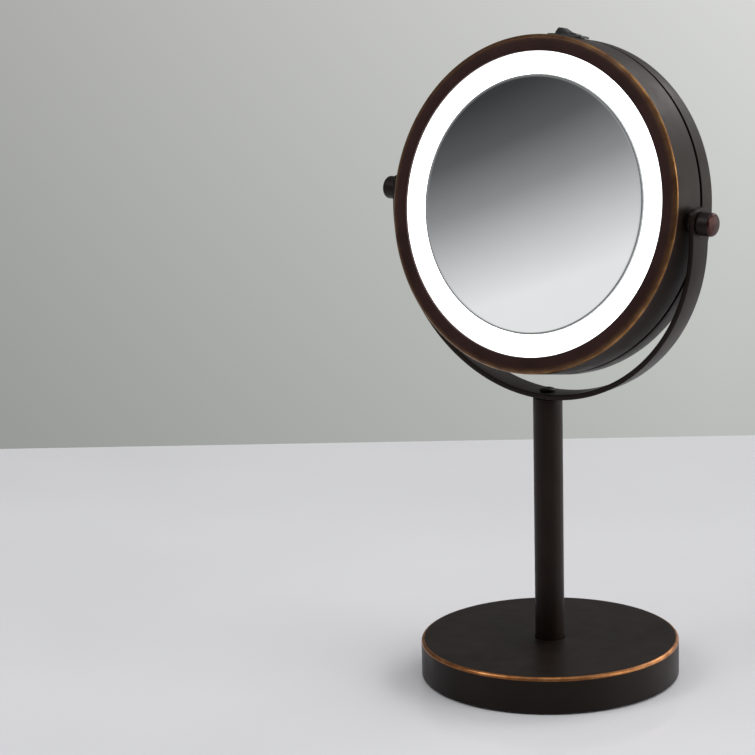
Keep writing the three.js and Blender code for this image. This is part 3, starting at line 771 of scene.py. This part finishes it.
def make_rocker():
    """A moulded wedge: its outline seen from the front, high on the left half and sloping to the right end,
    is carried across the switch in six loops that shrink towards the ends, which rounds its long edges."""
    base = ROCKER_BASE
    outline = rounded([(-6.1, base, 0), (6.1, base, 0), (6.05, base + 2.3, 0.5), (1.2, base + 3.12, 6),
                       (-2.2, base + 4.75, 1.0), (-4.4, base + 4.75, 0.7), (-5.85, base + 2.6, 0.4)], 8, True)
    outline = subdivide(np.concatenate([outline, outline[:1]]), 0.35)[:-1]
    depth = 2.3
    inward = np.array([0.0, base + 1.6])
    rows = []
    for v, shrink in ((-depth, 0.28), (-depth + 0.08, 0.12), (-depth + 0.3, 0.0), (depth - 0.3, 0.0),
                      (depth - 0.08, 0.12), (depth, 0.28)):
        towards = inward - outline
        towards /= np.linalg.norm(towards, axis=1, keepdims=True)
        loop = outline + towards * shrink
        rows.append(np.stack([loop[:, 0], np.full(len(loop), v), loop[:, 1]], 1))
    points = np.concatenate(rows)
    columns = len(outline)
    faces = grid_faces(len(rows), columns, wrap_columns=True)
    faces += [list(range(columns)), [(len(rows) - 1) * columns + k for k in range(columns)][::-1]]
    points[:, 1] += SWITCH_Y
    piece = mesh_piece("rocker_cap", in_head(points), faces, "rocker", ["switch_rocker"])
    fix_outward(piece)
    hard_edges(piece, 30)
    dress(piece, ROCKER_ABS)


make_base()
make_post()
make_yoke()
make_yoke_screw()
make_front_shell()
make_rear_cover()
make_front_glass()
make_opal()
make_pivots()
make_bezel()
make_rocker()


# ---------------------------------------------------------------- camera
# The camera's distance from the post's line, its height and its lens in millimetres, and its turns.
CAMERA_AWAY = 1503.9
CAMERA_HEIGHT = 520.5
CAMERA_AROUND = math.radians(34.062)
CAMERA_PAST = math.radians(3.017)
CAMERA_DOWN = math.radians(13.994)
CAMERA_ROLL = math.radians(-1.266)
SENSOR_WIDTH = 36
LENS = 158.54305


def make_camera():
    """The camera stands on a circle round the post and looks past the post's line by a small angle. Forward
    is the heading tipped down, right is level, up is their cross product, and roll turns right and up in
    their plane."""
    heading = CAMERA_AROUND + CAMERA_PAST
    down, roll = CAMERA_DOWN, CAMERA_ROLL
    right = np.array([math.cos(heading), math.sin(heading), 0.0])
    level = np.array([-math.sin(heading), math.cos(heading), 0.0])
    forward = level * math.cos(down) - np.array([0.0, 0.0, math.sin(down)])
    up = np.cross(right, forward)
    right, up = right * math.cos(roll) + up * math.sin(roll), up * math.cos(roll) - right * math.sin(roll)
    data = bpy.data.cameras.new("camera")
    data.sensor_width = SENSOR_WIDTH
    data.lens = LENS
    data.clip_start, data.clip_end = 0.05, 30
    camera = bpy.data.objects.new("camera", data)
    away = CAMERA_AWAY
    place = np.array([away * math.sin(CAMERA_AROUND), -away * math.cos(CAMERA_AROUND), CAMERA_HEIGHT]) * MM
    rotation = Matrix(np.column_stack([right, up, -forward]).tolist()).to_4x4()
    camera.matrix_world = Matrix.Translation(place.tolist()) @ rotation
    bpy.context.scene.collection.objects.link(camera)
    bpy.context.scene.camera = camera


# ---------------------------------------------------------------- floor, world and lights
def make_floor():
    """A pale table top: a thin slab whose back edge lies behind the object, square to the camera's view.
    Its four corners are back and side directions times their distances, in metres."""
    turn = math.radians(36.2)
    rear, front, half, thick = 0.425, -3.0, 2.5, 0.03
    back = np.array([-math.sin(turn), math.cos(turn)])
    side = np.array([math.cos(turn), math.sin(turn)])
    corners = [back * d + side * w for d, w in ((rear, -half), (rear, half), (front, half), (front, -half))]
    points = np.array([[*c, z] for z in (0.0, -thick) for c in corners])
    faces = [[0, 3, 2, 1], [4, 5, 6, 7], [0, 1, 5, 4], [1, 2, 6, 5], [2, 3, 7, 6], [3, 0, 4, 7]]
    mesh = bpy.data.meshes.new("table_top")
    mesh.from_pydata(points.tolist(), [], faces)
    floor = bpy.data.objects.new("table_top", mesh)
    bpy.context.scene.collection.objects.link(floor)
    material, shader, coordinates = new_material("white_lacquered_table")
    drift = node(material, NOISE, {"Scale": 6}, "Fac", Vector=coordinates)
    tone = node(material, RAMP, {"stops": [(0.3, "#ececef"), (0.7, "#f1f1f4")]}, "Color", Fac=drift)
    link(material, tone, shader.inputs["Base Color"])
    shader.inputs["Roughness"].default_value = 0.08
    mesh.materials.append(material)


def make_world():
    """Plain grey surroundings. Behind the object stands a light wall, duller towards the left above the
    table, with a bright window low down to the right. In front the room is dark low down and light high up,
    along a line that leans to the left, which the dished mirror shows upside down."""
    world = bpy.data.worlds.new("studio")
    world.use_nodes = True
    bpy.context.scene.world = world
    background = world.node_tree.nodes["Background"]
    direction = node(world, "ShaderNodeTexCoord", out="Generated")
    split = node(world, "ShaderNodeSeparateXYZ", Vector=direction)
    x, y, z = split.outputs["X"], split.outputs["Y"], split.outputs["Z"]

    lean = math.radians(25)
    slope = (-0.83 * math.sin(lean), 0.55 * math.sin(lean), math.cos(lean))
    climb = node(world, "ShaderNodeVectorMath", {"operation": "DOT_PRODUCT", 1: slope}, "Value", _0=direction)
    rise = node(world, RANGE, {"From Min": 0.06, "From Max": 0.48}, "Result", Value=climb)
    room = node(world, RAMP, {"stops": [
        (0.0, "#3c3c3d"), (0.083, "#5c5c5d"), (0.167, "#8f8f90"), (0.25, "#c6c6c7"), (0.333, "#ebebeb"),
        (0.5, "#ebebeb"), (0.72, "#747475"), (1.0, "#525253"),
    ]}, "Color", Fac=rise)
    height = node(world, RANGE, {"From Min": -0.3, "From Max": 0.5}, "Result", Value=z)
    wall = node(world, RAMP, {"stops": [
        (0.0, "#a8aba7"), (0.22, "#d0d1ce"), (0.5, "#d6d6d4"), (1.0, "#dcdcdc"),
    ]}, "Color", Fac=height)
    dull = node(world, RAMP, {"stops": [
        (0.0, "#a8aba7"), (0.22, "#d0d1ce"), (0.42, "#b0b0b0"), (0.6, "#666667"), (1.0, "#8a8a8a"),
    ]}, "Color", Fac=height)
    to_right = node(world, RANGE, {"From Min": -0.4, "From Max": -0.05}, "Result", Value=x)
    behind = node(world, "ShaderNodeMix", {"data_type": "RGBA"}, 2, _0=to_right, _6=dull, _7=wall)
    is_behind = node(world, RANGE, {"From Min": -0.25, "From Max": 0.25}, "Result", Value=y)
    colour = node(world, "ShaderNodeMix", {"data_type": "RGBA"}, 2, _0=is_behind, _6=room, _7=behind)
    world.node_tree.links.new(colour, background.inputs["Color"])

    # the window's brightness, and a slow fall-off of the wall's light towards the left
    window_x = node(world, RANGE, {"From Min": 0.3, "From Max": 0.6}, "Result", Value=x)
    window_z = node(world, RANGE, {"From Min": 0.45, "From Max": 0.12}, "Result", Value=z)
    window = node(world, MATH, {"operation": "MULTIPLY"}, "Value", _0=window_x, _1=window_z)
    window = node(world, MATH, {"operation": "MULTIPLY"}, "Value", _0=window, _1=is_behind)
    lit = node(world, RANGE, {"To Min": 0.0, "To Max": 2.5}, "Result", Value=window)
    fall = node(world, RANGE, {"From Min": -0.7, "From Max": -0.5, "To Min": 0.62, "To Max": 1.1},
                "Result", Value=x)
    shaded = node(world, "ShaderNodeMix", {"data_type": "FLOAT", 2: 1.0}, 0, _0=is_behind, _3=fall)
    total = node(world, MATH, {"operation": "ADD"}, "Value", _0=lit, _1=shaded)
    world.node_tree.links.new(total, background.inputs["Strength"])


def area_light(name, place, target, size, power):
    """A white rectangular light at place, turned to face target. Places and sizes are in metres, power in
    watts."""
    data = bpy.data.lights.new(name, "AREA")
    data.shape = "RECTANGLE"
    data.size, data.size_y = size
    data.energy = power
    light = bpy.data.objects.new(name, data)
    light.location = place
    direction = Matrix.Translation(place).translation - Matrix.Translation(target).translation
    light.rotation_euler = direction.to_track_quat("Z", "Y").to_euler()
    bpy.context.scene.collection.objects.link(light)


bpy.context.scene.view_settings.view_transform = "Standard"
make_camera()
make_floor()
make_world()
area_light("key", (-0.9, -1.3, 1.7), (0, 0, 0.15), (1.2, 1.2), 13)
area_light("fill", (1.7, 0.2, 1.0), (0, 0, 0.2), (1.0, 1.0), 7)
area_light("overhead", (0.1, -0.1, 1.9), (0, 0, 0), (1.3, 1.3), 7.5)
area_light("back", (0.5, 1.7, 1.3), (0, 0, 0.2), (1.4, 0.8), 10)
